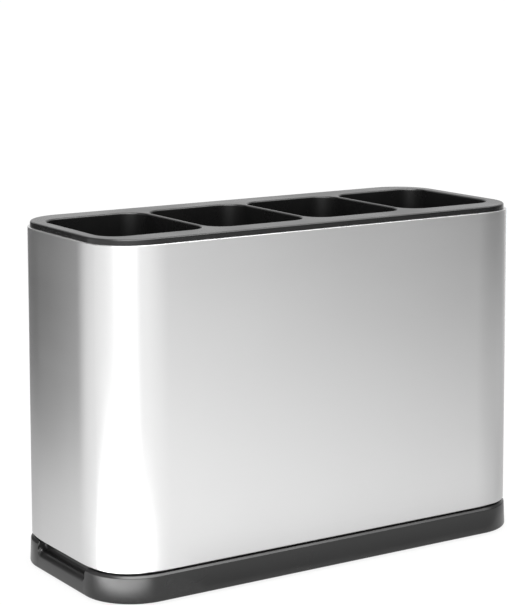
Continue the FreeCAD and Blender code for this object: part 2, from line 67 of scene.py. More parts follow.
SHARP_ANGLE = radians(40)  # a steeper edge is a real corner, a flatter one part of a rounding
IMAGE_WIDTH = 507
IMAGE_HEIGHT = 605
FEET = ("foot_front_left", "foot_front_right", "foot_rear_left", "foot_rear_right")


# ---------------------------------------------------------------------------
# Finishes
# ---------------------------------------------------------------------------


def linear(hex_colour: str) -> tuple[float, float, float, float]:
    """Turn an sRGB hex colour into the linear colour that a shader socket takes.

    Args:
        hex_colour: Colour such as "c8c9ca".

    Returns:
        Linear red, green, blue and an alpha of 1.
    """
    channels = [int(hex_colour[i : i + 2], 16) / 255 for i in (0, 2, 4)]
    bright = [c / 12.92 if c <= 0.04045 else ((c + 0.055) / 1.055) ** 2.4 for c in channels]
    return (*bright, 1.0)


def add_node(tree: bpy.types.NodeTree, kind: str, **inputs: object) -> bpy.types.Node:
    """Add a node, set its properties and input values, and link what is given as a socket.

    Args:
        tree: Node tree that takes the node.
        kind: Blender's name for the node's type.
        **inputs: Property names, or input names with underscores for blanks.

    Returns:
        The new node.
    """
    node = tree.nodes.new(kind)
    for name, given in inputs.items():
        socket = node.inputs.get(name.replace("_", " "))
        if isinstance(given, bpy.types.NodeSocket):
            tree.links.new(given, socket)
        elif socket is not None:
            socket.default_value = given
        else:
            setattr(node, name, given)
    return node


@dataclass(frozen=True)
class Finish:
    """What every finish holds: its name, colour and the shader numbers of the real material."""

    name: str
    colour: str
    roughness: float

    def shader(self, material: bpy.types.Material) -> bpy.types.Node:
        """Set the shader's even values and return it.

        Args:
            material: The material that holds the shader.

        Returns:
            The Principled BSDF node.
        """
        shader = material.node_tree.nodes["Principled BSDF"]
        shader.inputs["Base Color"].default_value = linear(self.colour)
        shader.inputs["Roughness"].default_value = self.roughness
        return shader

    def material(self) -> bpy.types.Material:
        """Make the material, with its even values and its surface detail."""
        material = bpy.data.materials.new(self.name)
        material.use_nodes = True
        material.diffuse_color = linear(self.colour)
        self.detail(material.node_tree, self.shader(material))
        return material

    def detail(self, tree: bpy.types.NodeTree, shader: bpy.types.Node) -> None:
        """Add the surface detail; each kind of finish has its own."""
        raise NotImplementedError


@dataclass(frozen=True)
class SatinStainless(Finish):
    """Stainless steel sheet, satin ground along its length and then formed.

    The eye gets a soft metal gradient with a bright band at each rounded corner, and on a close
    look fine hairlines that run level round the sleeve.
    """

    anisotropy: float = 0.43
    anisotropy_turn: float = 0.25
    hairline_spacing: float = 0.5 * MM  # real grinding lines are finer, drawn coarser to show
    hairline_length: float = 70 * MM
    hairline_height: float = 0.0006 * MM
    hairline_octaves: float = 3.0
    roughness_swing: float = 0.03
    cloud_size: float = 60 * MM
    cloud_octaves: float = 2.0
    pattern_low: float = 0.6  # the sum of both patterns that gives the least roughness
    pattern_high: float = 1.4  # and the sum that gives the most

    def detail(self, tree: bpy.types.NodeTree, shader: bpy.types.Node) -> None:
        """Level hairlines in roughness and height, and a slow cloud of handling."""
        shader.inputs["Metallic"].default_value = 1.0
        shader.inputs["Anisotropic"].default_value = self.anisotropy
        shader.inputs["Anisotropic Rotation"].default_value = self.anisotropy_turn
        place = add_node(tree, "ShaderNodeTexCoord").outputs["Object"]
        stretch = (1 / self.hairline_length, 1 / self.hairline_length, 1 / self.hairline_spacing)
        along = add_node(tree, "ShaderNodeMapping", Vector=place, Scale=stretch)
        lines = add_node(
            tree,
            "ShaderNodeTexNoise",
            Vector=along.outputs["Vector"],
            Scale=1.0,
            Detail=self.hairline_octaves,
        )
        cloud = add_node(
            tree,
            "ShaderNodeTexNoise",
            Vector=place,
            Scale=1 / self.cloud_size,
            Detail=self.cloud_octaves,
        )
        both = add_node(tree, "ShaderNodeMath", operation="ADD", Value=lines.outputs["Fac"])
        tree.links.new(cloud.outputs["Fac"], both.inputs[1])
        rough = add_node(
            tree,
            "ShaderNodeMapRange",
            Value=both.outputs["Value"],
            From_Min=self.pattern_low,
            From_Max=self.pattern_high,
            To_Min=self.roughness - self.roughness_swing,
            To_Max=self.roughness + self.roughness_swing,
        )
        tree.links.new(rough.outputs["Result"], shader.inputs["Roughness"])
        bump = add_node(
            tree,
            "ShaderNodeBump",
            Height=lines.outputs["Fac"],
            Strength=1.0,
            Distance=self.hairline_height,
        )
        tree.links.new(bump.outputs["Normal"], shader.inputs["Normal"])


@dataclass(frozen=True)
class MouldedPlastic(Finish):
    """Injection-moulded plastic from a tool with a fine even texture.

    The eye gets a dark satin surface whose rounded edges carry thin bright lines.
    """

    refraction: float = 1.5
    grain_size: float = 0.5 * MM  # the tool's texture is finer, drawn coarser to show
    grain_height: float = 0.002 * MM
    roughness_swing: float = 0.04
    cloud_size: float = 25 * MM
    octaves: float = 2.0
    pattern_low: float = 0.3  # the cloud's value that gives the least roughness
    pattern_high: float = 0.7  # and the value that gives the most

    def detail(self, tree: bpy.types.NodeTree, shader: bpy.types.Node) -> None:
        """A fine grain in height and a slow change in gloss, as cooling leaves it."""
        shader.inputs["IOR"].default_value = self.refraction
        place = add_node(tree, "ShaderNodeTexCoord").outputs["Object"]
        grain = add_node(
            tree,
            "ShaderNodeTexNoise",
            Vector=place,
            Scale=1 / self.grain_size,
            Detail=self.octaves,
        )
        cloud = add_node(
            tree,
            "ShaderNodeTexNoise",
            Vector=place,
            Scale=1 / self.cloud_size,
            Detail=self.octaves,
        )
        rough = add_node(
            tree,
            "ShaderNodeMapRange",
            Value=cloud.outputs["Fac"],
            From_Min=self.pattern_low,
            From_Max=self.pattern_high,
            To_Min=self.roughness - self.roughness_swing,
            To_Max=self.roughness + self.roughness_swing,
        )
        tree.links.new(rough.outputs["Result"], shader.inputs["Roughness"])
        bump = add_node(
            tree,
            "ShaderNodeBump",
            Height=grain.outputs["Fac"],
            Strength=1.0,
            Distance=self.grain_height,
        )
        tree.links.new(bump.outputs["Normal"], shader.inputs["Normal"])


SLEEVE_STEEL = SatinStainless("satin_stainless_steel", "dadada", 0.39)
INSERT_PLASTIC = MouldedPlastic("insert_moulded_abs", "141414", 0.28)
BASE_PLASTIC = MouldedPlastic("base_moulded_abs", "1a1a1a", 0.30)
FOOT_RUBBER = MouldedPlastic("foot_moulded_rubber", "1a1a1a", 0.75, grain_height=0.01 * MM)


# ---------------------------------------------------------------------------
# Shared modelling tools
# ---------------------------------------------------------------------------


@dataclass(frozen=True)
class Outline:
    """A rounded rectangle in plan, about the origin.

    An eased corner starts and ends on a larger radius, and only its middle has the small one.
    """

    length: float
    depth: float
    radius: float
    ease: float = 0.0  # how much larger the radius is where a corner starts and ends
    ease_angle: float = 0.0  # how far a corner turns on the larger radius at each end

    def inside(self, inset: float) -> "Outline":
        """The outline that lies inside this one by the same distance all round."""
        return replace(
            self,
            length=self.length - 2 * inset,
            depth=self.depth - 2 * inset,
            radius=self.radius - inset,
        )

    def corner(self) -> list[tuple[Vector, float]]:
        """Centre and angle of each arc of the rear right corner, from the end to the long side."""
        across, along = cos(self.ease_angle), sin(self.ease_angle)
        reach = self.radius + self.ease * (1 - across + along)
        right, back = self.length / 2, self.depth / 2
        first = Vector((right - self.radius - self.ease, back - reach, 0))
        middle = first + self.ease * Vector((across, along, 0))
        last = middle - self.ease * Vector((along, across, 0))
        arcs = [
            (first, self.ease_angle),
            (middle, pi / 2 - 2 * self.ease_angle),
            (last, self.ease_angle),
        ]
        return [(centre, angle) for centre, angle in arcs if angle > 0]


@dataclass(frozen=True)
class Knot:
    """A corner of a section: how far inside the outline it lies, its height and its rounding."""

    inset: float
    height: float
    rounding: float = 0.0


@unique
class Corner(Enum):
    """How finely a rounded corner is divided."""

    PLAN = 28
    EDGE = 6
    RING = 8
    BREAK = 3


def rounded_wire(
    mesh: bmesh.types.BMesh, outline: Outline, knots: list[Knot], closed: bool
) -> None:
    """Draw a section as a wire on the outline's right side and round its corners.

    Args:
        mesh: The mesh that takes the wire.
        outline: The plan outline that insets are measured from.
        knots: The section's corners in order.
        closed: Whether the last corner joins the first.
    """
    right = outline.length / 2
    points = [mesh.verts.new((right - k.inset, 0.0, k.height)) for k in knots]
    pairs = list(zip(points, points[1:] + points[:1]))
    for start, end in pairs if closed else pairs[:-1]:
        mesh.edges.new((start, end))
    for point, knot in zip(points, knots):
        if knot.rounding:
            bmesh.ops.bevel(
                mesh,
                geom=[point],
                offset=knot.rounding,
                affect="VERTICES",
                segments=Corner.EDGE.value,
                profile=0.5,
                material=-1,
            )


def walk(edges: list[bmesh.types.BMEdge], start: Vector) -> list[bmesh.types.BMVert]:
    """Follow an open wire from the end that lies nearest to a point.

    Args:
        edges: The wire's edges.
        start: A point near the end to begin at.

    Returns:
        The wire's vertices in order.
    """
    links: dict[bmesh.types.BMVert, list[bmesh.types.BMEdge]] = {}
    for edge in edges:
        for point in edge.verts:
            links.setdefault(point, []).append(edge)
    ends = [point for point, joined in links.items() if len(joined) == 1]
    path = [min(ends, key=lambda point: (point.co - start).length)]
    used: set[bmesh.types.BMEdge] = set()
    while onward := [e for e in links[path[-1]] if e not in used]:
        used.add(onward[0])
        path.append(onward[0].other_vert(path[-1]))
    return path


def carry(
    mesh: bmesh.types.BMesh, edges: list[bmesh.types.BMEdge], way: Vector
) -> list[bmesh.types.BMEdge]:
    """Extrude a wire along a straight run.

    Args:
        mesh: The mesh being built.
        edges: The wire's edges.
        way: The run's direction and length.

    Returns:
        The edges of the wire at the run's end.
    """
    made = bmesh.ops.extrude_edge_only(mesh, edges=edges)["geom"]
    moved = [v for v in made if isinstance(v, bmesh.types.BMVert)]
    bmesh.ops.translate(mesh, verts=moved, vec=way)
    inside = set(moved)
    return [e for e in made if isinstance(e, bmesh.types.BMEdge) and set(e.verts) <= inside]


def turn(
    mesh: bmesh.types.BMesh, edges: list[bmesh.types.BMEdge], centre: Vector, angle: float
) -> list[bmesh.types.BMEdge]:
    """Spin a wire about the centre of a corner's arc.

    Args:
        mesh: The mesh being built.
        edges: The wire's edges.
        centre: Centre of the arc.
        angle: How far the arc turns.

    Returns:
        The edges of the wire at the corner's end.
    """
    points = list({v for e in edges for v in e.verts})
    spun = bmesh.ops.spin(
        mesh,
        geom=points + edges,
        cent=centre,
        axis=(0, 0, 1),
        dvec=(0, 0, 0),
        angle=angle,
        steps=round(Corner.PLAN.value * angle / (pi / 2)),
        use_merge=False,
        use_duplicate=False,
    )
    return [e for e in spun["geom_last"] if isinstance(e, bmesh.types.BMEdge)]


def mirror_to_full(mesh: bmesh.types.BMesh) -> None:
    """Mirror a quarter into a half and the half into the whole, and close the seams."""
    for axis in ("Y", "X"):
        geom = mesh.verts[:] + mesh.edges[:] + mesh.faces[:]
        bmesh.ops.mirror(mesh, geom=geom, axis=axis, merge_dist=MERGE)
    bmesh.ops.remove_doubles(mesh, verts=mesh.verts[:], dist=MERGE)


def go_round(mesh: bmesh.types.BMesh, outline: Outline, edges: list[bmesh.types.BMEdge]) -> None:
    """Carry a wire from where it stands on the right end round one corner, and mirror the rest.

    Args:
        mesh: The mesh being built.
        outline: The plan outline.
        edges: The wire's edges, on the outline's right side.
    """
    stands_at = edges[0].verts[0].co.y
    arcs = outline.corner()
    edges = carry(mesh, edges, Vector((0, arcs[0][0].y - stands_at, 0)))
    for centre, angle in arcs:
        edges = turn(mesh, edges, centre, angle)
    carry(mesh, edges, Vector((-arcs[-1][0].x, 0, 0)))
    mirror_to_full(mesh)


def sweep(
    mesh: bmesh.types.BMesh, outline: Outline, knots: list[Knot], closed: bool = False
) -> None:
    """Carry one section all round a rounded rectangle.

    Args:
        mesh: An empty mesh.
        outline: The plan outline.
        knots: The section's corners.
        closed: Whether the section closes on itself.
    """
    rounded_wire(mesh, outline, knots, closed)
    go_round(mesh, outline, mesh.edges[:])


def ring(mesh: bmesh.types.BMesh, outline: Outline, place: Vector) -> list[bmesh.types.BMEdge]:
    """Draw a rounded rectangle as a closed wire.

    Args:
        mesh: The mesh that takes the wire.
        outline: Size of the rectangle.
        place: Its centre.

    Returns:
        The wire's edges.
    """
    flat = bmesh.new()
    half_length, half_depth = outline.length / 2, outline.depth / 2
    signs = [(-1, -1), (1, -1), (1, 1), (-1, 1)]
    points = [flat.verts.new((x * half_length, y * half_depth, 0)) for x, y in signs]
    flat.faces.new(points)
    bmesh.ops.bevel(
        flat,
        geom=points,
        offset=outline.radius,
        affect="VERTICES",
        segments=Corner.RING.value,
        profile=0.5,
        material=-1,
    )
    bmesh.ops.remove_doubles(flat, verts=flat.verts[:], dist=MERGE)
    bmesh.ops.delete(flat, geom=flat.faces[:], context="FACES_ONLY")
    bmesh.ops.translate(flat, verts=flat.verts[:], vec=place)
    return join(mesh, flat)


def column(
    mesh: bmesh.types.BMesh, outline: Outline, place: Vector, height: float, rounding: float = 0.0
) -> None:
    """Raise a rib from a flat, or sink a pocket into it, as walls and an end face.

    Args:
        mesh: The mesh that takes it; the flat round it is filled later.
        outline: Its plan.
        place: Its centre on the flat.
        height: How far it stands up, or down where negative.
        rounding: Rounding of the end face's edges.
    """
    edges = carry(mesh, ring(mesh, outline, place), Vector((0, 0, height)))
    bmesh.ops.edgeloop_fill(mesh, edges=edges)
    if rounding:
        bmesh.ops.bevel(
            mesh,
            geom=edges,
            offset=rounding,
            affect="EDGES",
            segments=Corner.BREAK.value,
            profile=0.5,
            material=-1,
        )


def join(mesh: bmesh.types.BMesh, other: bmesh.types.BMesh) -> list[bmesh.types.BMEdge]:
    """Move another mesh's geometry into a mesh and free the other.

    Args:
        mesh: The mesh that grows.
        other: The mesh that is used up.

    Returns:
        The edges that were added.
    """
    before = set(mesh.edges)
    store = bpy.data.meshes.new("store")
    other.to_mesh(store)
    other.free()
    mesh.from_mesh(store)
    bpy.data.meshes.remove(store)
    return [e for e in mesh.edges if e not in before]


def open_edges(mesh: bmesh.types.BMesh, height: float) -> list[bmesh.types.BMEdge]:
    """The edges at a height that have fewer than two faces."""
    return [
        e
        for e in mesh.edges
        if len(e.link_faces) < 2 and all(abs(v.co.z - height) < MERGE for v in e.verts)
    ]


def fill(mesh: bmesh.types.BMesh, height: float) -> None:
    """Close the flat space between all open wires at a height."""
    bmesh.ops.triangle_fill(mesh, use_beauty=True, edges=open_edges(mesh, height))


def finish_mesh(mesh: bmesh.types.BMesh, name: str) -> bpy.types.Object:
    """Close seams, turn faces outwards and make a smooth piece with true flat faces.

    Args:
        mesh: The finished mesh, which is used up.
        name: The piece's name.

    Returns:
        The new object, at the origin.
    """
    bmesh.ops.remove_doubles(mesh, verts=mesh.verts[:], dist=MERGE)
    bmesh.ops.dissolve_degenerate(mesh, edges=mesh.edges[:], dist=DEGENERATE)
    bmesh.ops.recalc_face_normals(mesh, faces=mesh.faces[:])
    data = bpy.data.meshes.new(name)
    mesh.to_mesh(data)
    mesh.free()
    data.shade_smooth()
    data.set_sharp_from_angle(angle=SHARP_ANGLE)
    piece = bpy.data.objects.new(name, data)
    bpy.context.scene.collection.objects.link(piece)
    flats = piece.modifiers.new("true_flats", "WEIGHTED_NORMAL")
    flats.keep_sharp = True
    return piece


def dress(piece: bpy.types.Object, finish: Finish, body: str, node: str) -> None:
    """Give a piece its finish, its body and the node it stands for.

    Args:
        piece: The piece.
        finish: Its finish.
        body: The frame's body that it rides on.
        node: The frame's node that it replaces.
    """
    piece.data.materials.append(finish.material())
    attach(piece, body)
    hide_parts(node)
    LOG.info("%s: %d faces", piece.name, len(piece.data.polygons))


# ---------------------------------------------------------------------------
# The caddy
# ---------------------------------------------------------------------------


@dataclass
class OuterSleeve:
    """Steel sheet rolled into a rounded rectangle, its two edges turned inward.

    A rolled corner starts gently, so it is eased, and stays close to a plain one of 22.5 mm. Both
    turned edges are drawn tighter than such sheet bends, so that they catch only a thin line.
    """

    node: str = "outer_sleeve"
    corner_radius: float = 19.47 * MM
    corner_ease: float = 40.53 * MM
    ease_angle: float = radians(12)
    taper: float = 1.15 * MM
    sheet: float = 0.6 * MM
    bottom_bend: float = 0.6 * MM
    top_bend: float = 0.25 * MM
    lip: float = 4.0 * MM

    def build(self) -> bpy.types.Object:
        """Sweep the bent section of the wall round the plan."""
        low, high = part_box(self.node)
        length, depth = high.x - low.x, high.y - low.y
        outline = Outline(length, depth, self.corner_radius, self.corner_ease, self.ease_angle)
        bottom, top = low.z, high.z
        section = [
            Knot(self.lip, bottom),
            Knot(0, bottom, self.bottom_bend),
            Knot(self.taper, top, self.top_bend),
            Knot(self.taper + self.lip, top),
            Knot(self.taper + self.lip, top - self.sheet),
            Knot(self.taper + self.sheet, top - self.sheet),
            Knot(self.sheet, bottom + self.sheet),
            Knot(self.lip, bottom + self.sheet),
        ]
        mesh = bmesh.new()
        sweep(mesh, outline, section, closed=True)
        piece = finish_mesh(mesh, "steel_sleeve")
        dress(piece, SLEEVE_STEEL, "sleeve", self.node)
        return piece


@dataclass
class CompartmentInsert:
    """Black moulding: flat rim, four drafted compartments with drain slots, skirt and gussets."""

    node: str = "compartment_insert"
    rim_radius: float = 20.05 * MM
    rim_height: float = 2.5 * MM
    rim_rounding: float = 0.8 * MM
    count: int = 4
    cell_length: float = 49.5 * MM
    cell_depth: float = 62.0 * MM
    cell_radius: float = 10.0 * MM
    draft: float = 0.8 * MM
    divider: float = 2.0 * MM
    wall: float = 2.0 * MM
    floor: float = 2.2 * MM
    floor_rounding: float = 4.0 * MM
    slot: Outline = Outline(4.0 * MM, 30.0 * MM, 1.6 * MM)
    slot_pitch: float = 9.0 * MM
    slots_per_cell: int = 4
    skirt_inset: float = 3.1 * MM
    skirt_thickness: float = 1.4 * MM
    skirt_drop: float = 4.0 * MM
    gusset_thickness: float = 1.6 * MM
    edge_break: float = 0.3 * MM
    root: float = 0.5 * MM
    flat_margin: float = 0.1 * MM

    def cell_centres(self) -> list[Vector]:
        """Plan centres of the compartments."""
        pitch = self.cell_length + self.divider
        return [Vector(((i - (self.count - 1) / 2) * pitch, 0, 0)) for i in range(self.count)]

    def add_cells(self, mesh: bmesh.types.BMesh, top: float, floor: float) -> None:
        """Add the compartments' walls, from the rim's rounded edge to the floor's rounding."""
        outline = Outline(self.cell_length, self.cell_depth, self.cell_radius)
        reach = self.rim_rounding + self.flat_margin
        section = [
            Knot(-reach, top),
            Knot(0, top, self.rim_rounding),
            Knot(self.draft, floor, self.floor_rounding),
            Knot(self.draft + self.floor_rounding + self.flat_margin, floor),
        ]
        for centre in self.cell_centres():
            cell = bmesh.new()
            sweep(cell, outline, section)
            bmesh.ops.translate(cell, verts=cell.verts[:], vec=centre)
            join(mesh, cell)

    def add_slots(self, mesh: bmesh.types.BMesh, floor: float, underside: float) -> None:
        """Add the drain slots' walls through each compartment's floor."""
        drop = Vector((0, 0, underside - floor))
        for centre in self.cell_centres():
            for i in range(self.slots_per_cell):
                across = (i - (self.slots_per_cell - 1) / 2) * self.slot_pitch
                place = centre + Vector((across, 0, floor))
                carry(mesh, ring(mesh, self.slot, place), drop)

    def add_skirt(self, mesh: bmesh.types.BMesh, rim: Outline, rim_bottom: float) -> None:
        """Add the skirt that centres the insert in the sleeve, and a gusset at each divider."""
        inner, outer = self.skirt_inset + self.skirt_thickness, self.skirt_inset
        top, low = rim_bottom + self.root, rim_bottom - self.skirt_drop
        skirt = bmesh.new()
        section = [
            Knot(outer, top),
            Knot(outer, low, self.edge_break),
            Knot(inner, low, self.edge_break),
            Knot(inner, top),
        ]
        sweep(skirt, rim, section, closed=True)
        join(mesh, skirt)
        reach = rim.depth - 2 * self.skirt_inset - self.skirt_thickness
        for i in range(1, self.count):
            across = (i - self.count / 2) * (self.cell_length + self.divider)
            gusset = bmesh.new()
            bmesh.ops.create_cube(gusset, size=1.0)
            size = Vector((self.gusset_thickness, reach, self.skirt_drop + self.root))
            bmesh.ops.scale(gusset, verts=gusset.verts[:], vec=size)
            bmesh.ops.bevel(
                gusset,
                geom=gusset.edges[:],
                offset=self.edge_break,
                affect="EDGES",
                segments=Corner.BREAK.value,
                profile=0.5,
                material=-1,
            )
            place = Vector((across, 0, (top + low) / 2))
            bmesh.ops.translate(gusset, verts=gusset.verts[:], vec=place)
            join(mesh, gusset)

    def build(self) -> bpy.types.Object:
        """Join rim, compartments and tub into one closed moulding, and add skirt and gussets."""
        low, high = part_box(self.node)
        top, underside = high.z, low.z
        rim_bottom = top - self.rim_height
        floor = underside + self.floor
        rim = Outline(high.x - low.x, high.y - low.y, self.rim_radius)
        row_length = self.count * (self.cell_length + self.divider) - self.divider
        tub = Outline(row_length, self.cell_depth, self.cell_radius).inside(-self.wall)

        mesh = bmesh.new()
        edge = self.rim_rounding + self.flat_margin
        sweep(mesh, rim, [Knot(edge, top), Knot(0, top, self.rim_rounding), Knot(0, rim_bottom)])
        outside = bmesh.new()
        tub_rounding = self.floor_rounding + self.wall
        section = [
            Knot(0, rim_bottom),
            Knot(self.draft, underside, tub_rounding),
            Knot(self.draft + tub_rounding + self.flat_margin, underside),
        ]
        sweep(outside, tub, section)
        join(mesh, outside)
        self.add_cells(mesh, top, floor)
        self.add_slots(mesh, floor, underside)
        for height in (top, rim_bottom, floor, underside):
            fill(mesh, height)
        self.add_skirt(mesh, rim, rim_bottom)
        piece = finish_mesh(mesh, "compartment_moulding")
        dress(piece, INSERT_PLASTIC, "insert", self.node)
        return piece


@dataclass
class DripTrayBase:
    """Charcoal moulding: flared wall, seat and low centring wall, tray with ribs, finger scoops."""

    node: str = "drip_tray_base"
    carries: str = "outer_sleeve"
    sleeve_radius: float = 22.5 * MM
    flare: float = 1.0 * MM
    shoulder: float = 0.4 * MM
    rim_height: float = 12.0 * MM
    bottom_rounding: float = 1.0 * MM
    top_bevel: float = 1.0 * MM
    step_rounding: float = 0.15 * MM
    seat_inset: float = 2.8 * MM
    seat_height: float = 12.85 * MM
    plug_inset: float = 4.4 * MM
    plug_rounding: float = 0.6 * MM
    wall: float = 2.2 * MM
    tray_floor: float = 3.4 * MM
    tray_rounding: float = 3.0 * MM
    flat_margin: float = 0.3 * MM
    scoop_half: float = 22.0 * MM
    scoop_drop: float = 4.0 * MM
    scoop_back: float = 4.0 * MM
    scoop_corner: float = 2.0 * MM
    scoop_rounding: float = 1.6 * MM
    scoop_blend: float = 1.2 * MM
    scoop_lip: float = 1.8 * MM
    ramp_steps: int = 6
    rib_count: int = 5
    rib_pitch: float = 34.0 * MM
    rib: Outline = Outline(1.8 * MM, 58.8 * MM, 0.6 * MM)
    rib_height: float = 3.0 * MM
    rib_rounding: float = 0.35 * MM
    panel_margin: float = 6.0 * MM
    panel_recess: float = 0.8 * MM
    core_count: int = 3
    core: Outline = Outline(53.0 * MM, 2.6 * MM, 0.8 * MM)
    core_pitch: float = 57.667 * MM
    core_inset: float = 3.1 * MM
    core_height: float = 9.8 * MM
    socket: Outline = Outline(12.2 * MM, 12.2 * MM, 6.0999 * MM)
    socket_depth: float = 1.2 * MM
    feet: tuple[str, ...] = FEET

    def upper_knots(self, low: float, top: float) -> list[Knot]:
        """The section from the centring wall's foot, over it and down into the tray."""
        seat, floor = low + self.seat_height, low + self.tray_floor
        well = self.plug_inset + self.wall
        return [
            Knot(self.plug_inset, seat),
            Knot(self.plug_inset, top, self.plug_rounding),
            Knot(well, top, self.plug_rounding),
            Knot(well, floor, self.tray_rounding),
            Knot(well + self.tray_rounding + self.flat_margin, floor),
        ]

    def plain_section(self, low: float, top: float) -> list[Knot]:
        """The section away from the scoops: outer wall, ledge, seat, centring wall and tray."""
        ledge, seat = low + self.rim_height, low + self.seat_height
        return [
            Knot(self.flat_margin, low),
            Knot(-self.flare, low, self.bottom_rounding),
            Knot(-self.shoulder, ledge - self.top_bevel, self.step_rounding),
            Knot(self.top_bevel - self.shoulder, ledge, self.step_rounding),
            Knot(self.seat_inset, ledge, self.step_rounding),
            Knot(self.seat_inset, seat, self.step_rounding),
            *self.upper_knots(low, top),
        ]

    def scooped_section(self, low: float, top: float) -> list[Knot]:
        """The section through a scoop, with as many corners as the plain one."""
        scoop, seat = low + self.rim_height - self.scoop_drop, low + self.seat_height
        lean = (self.flare - self.shoulder) * self.scoop_drop / self.rim_height
        return [
            Knot(self.flat_margin, low),
            Knot(-self.flare, low, self.bottom_rounding),
            Knot(-self.shoulder - lean, scoop - self.scoop_lip, self.scoop_lip / 2),
            Knot(self.scoop_lip - self.shoulder - lean, scoop, self.scoop_lip / 2),
            Knot(self.scoop_back, scoop, self.scoop_rounding),
            Knot(self.scoop_back, seat, self.step_rounding),
            *self.upper_knots(low, top),
        ]

    def ramp(self) -> list[tuple[float, float]]:
        """Where a scoop's end stands and how far it has risen, over its two roundings.

        Returns:
            Pairs of a distance from the middle of the end and a share of the way up.
        """
        angles = [pi / 2 * i / self.ramp_steps for i in range(self.ramp_steps + 1)]
        corner, blend, rise = self.scoop_corner, self.scoop_blend, self.scoop_drop
        near, far = self.scoop_half - corner, self.scoop_half + blend
        low = [(near + corner * sin(a), corner * (1 - cos(a)) / rise) for a in angles]
        high = [(far - blend * cos(a), 1 - blend * (1 - sin(a)) / rise) for a in angles]
        return low + high

    def add_body(self, mesh: bmesh.types.BMesh, low: float, top: float, outline: Outline) -> None:
        """Carry the scooped section along the end, raise it to the plain one and go round."""
        plain = bmesh.new()
        rounded_wire(plain, outline, self.plain_section(low, top), closed=False)
        start = Vector((outline.length / 2, 0, low))
        target = [v.co.copy() for v in walk(plain.edges[:], start)]
        plain.free()

        rounded_wire(mesh, outline, self.scooped_section(low, top), closed=False)
        edges = mesh.edges[:]
        source = [v.co.copy() for v in walk(edges, start)]
        stands_at = 0.0
        for place, share in self.ramp():
            edges = carry(mesh, edges, Vector((0, place - stands_at, 0)))
            stands_at = place
            for point, first, last in zip(walk(edges, start), source, target):
                mixed = first.lerp(last, share)
                point.co.x, point.co.z = mixed.x, mixed.z
        go_round(mesh, outline, edges)

    def build(self) -> bpy.types.Object:
        """Build the moulding from its swept body, its ribs and its underside."""
        low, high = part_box(self.node)
        sleeve_low, sleeve_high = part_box(self.carries)
        size = sleeve_high - sleeve_low
        outline = Outline(size.x, size.y, self.sleeve_radius)
        panel = low.z + self.panel_recess
        floor = low.z + self.tray_floor

        mesh = bmesh.new()
        self.add_body(mesh, low.z, high.z, outline)
        panel_wall = bmesh.new()
        sweep(panel_wall, outline, [Knot(self.panel_margin, low.z), Knot(self.panel_margin, panel)])
        join(mesh, panel_wall)
        for i in range(self.rib_count):
            across = (i - (self.rib_count - 1) / 2) * self.rib_pitch
            column(mesh, self.rib, Vector((across, 0, floor)), self.rib_height, self.rib_rounding)
        for i in range(self.core_count):
            across = (i - (self.core_count - 1) / 2) * self.core_pitch
            for side in (-1, 1):
                along = side * (outline.depth / 2 - self.core_inset)
                column(mesh, self.core, Vector((across, along, low.z)), self.core_height)
        for foot in self.feet:
            foot_low, foot_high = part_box(foot)
            centre = (foot_low + foot_high) / 2
            column(mesh, self.socket, Vector((centre.x, centre.y, panel)), self.socket_depth)
        for height in (low.z, panel, floor):
            fill(mesh, height)
        piece = finish_mesh(mesh, "tray_base")
        dress(piece, BASE_PLASTIC, "root", self.node)
        return piece


@dataclass
class RubberFeet:
    """Four round rubber pads in sockets under the base."""

    nodes: tuple[str, ...] = FEET

    def dress(self, frame_nodes: dict[str, bpy.types.Object]) -> None:
        """Give the frame's own feet their rubber."""
        rubber = FOOT_RUBBER.material()
        for name in self.nodes:
            frame_nodes[name].material_slots[0].material = rubber
            LOG.info("%s: kept from the frame", name)


# ---------------------------------------------------------------------------
# Studio
# ---------------------------------------------------------------------------


@dataclass(frozen=True)
class Softbox:
    """A rectangular studio light: where it stands, what it points at, its size and power."""

    name: str
    place: tuple[float, float, float]
    aim: tuple[float, float, float]
    width: float
    height: float
    power: float

    def build(self) -> None:
        """Make the light."""
        data = bpy.data.lights.new(self.name, "AREA")
        data.shape = "RECTANGLE"
        data.size, data.size_y = self.width, self.height
        data.energy = self.power
        light = bpy.data.objects.new(self.name, data)
        light.location = self.place
        way = Vector(self.aim) - Vector(self.place)
        light.rotation_euler = way.to_track_quat("-Z", "Y").to_euler()
        light.visible_camera = False
        bpy.context.scene.collection.objects.link(light)


